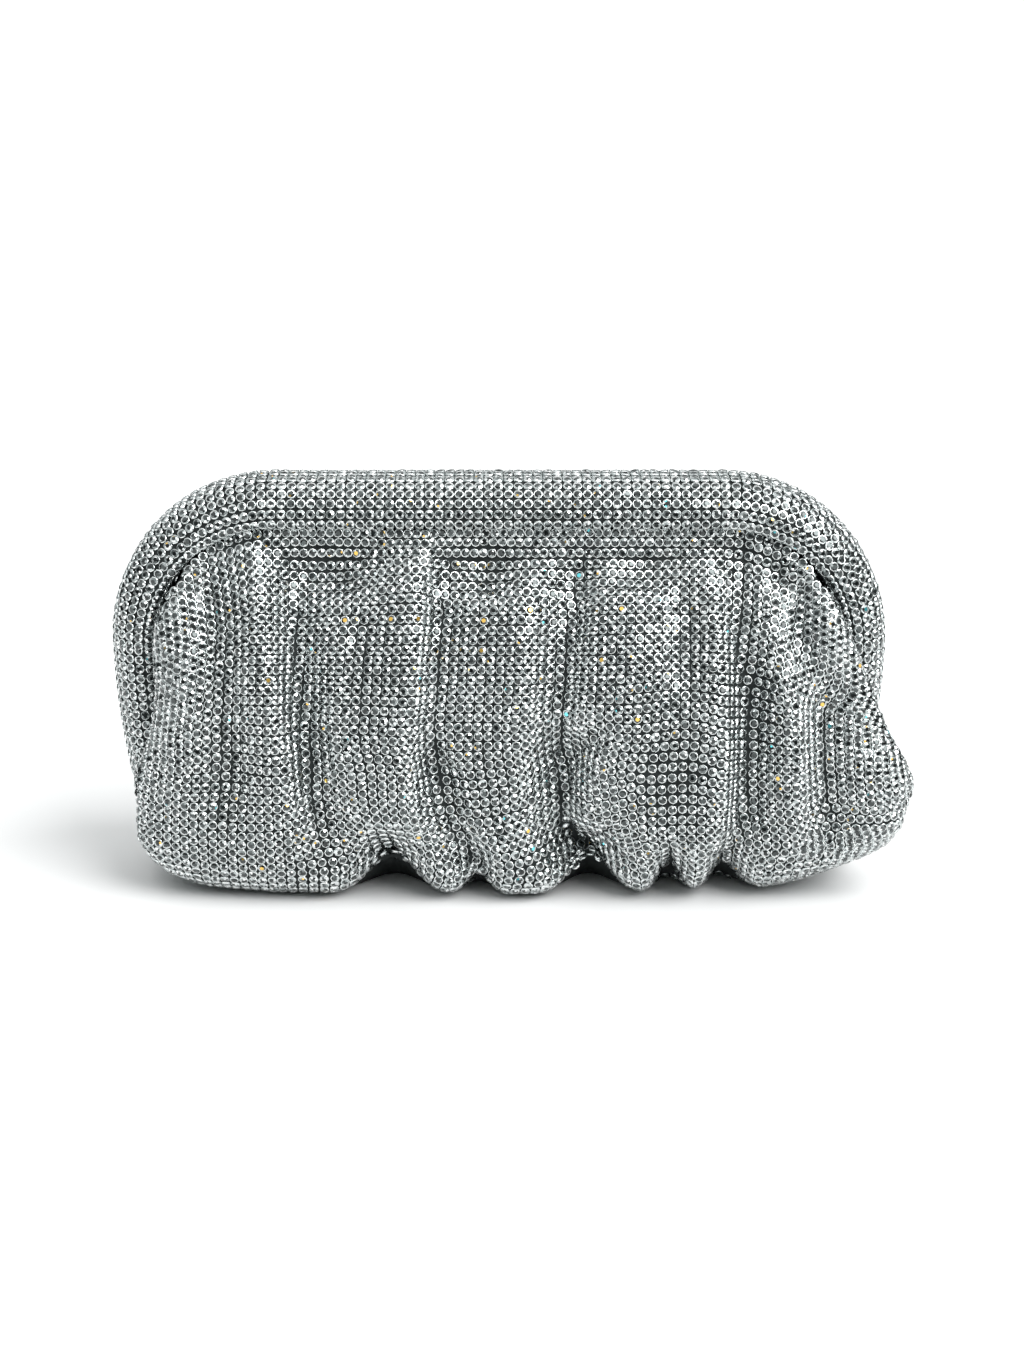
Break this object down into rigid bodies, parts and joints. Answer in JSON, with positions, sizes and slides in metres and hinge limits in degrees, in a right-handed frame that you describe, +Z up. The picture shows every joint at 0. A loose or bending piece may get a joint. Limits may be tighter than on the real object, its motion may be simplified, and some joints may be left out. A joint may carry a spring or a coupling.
{
  "type": "evening clutch bag",
  "caption": "Gathered soft clutch of crystal cloth on a rigid rounded frame with a hidden clasp; rests by itself and holds small things.",
  "frame": {"origin": "on the surface that the bag rests on, under the middle of its box", "axes": "+Z up, -Y out of the front with the pictured gathers, X along the bag's width, +X to the right seen from the front"},
  "size_m": [0.2618, 0.081, 0.1373],
  "materials": {
    "crystal_cloth": "mesh of clear crystals in silver cups on grey cloth",
    "plated_metal": "plated metal"
  },
  "bodies": {
    "root": {"front_frame": "crystal_cloth", "back_frame": "crystal_cloth", "pouch_front": "crystal_cloth", "pouch_back": "crystal_cloth", "hinge_pin_left": "plated_metal", "hinge_pin_right": "plated_metal", "clasp": "plated_metal"}
  },
  "joints": []
}
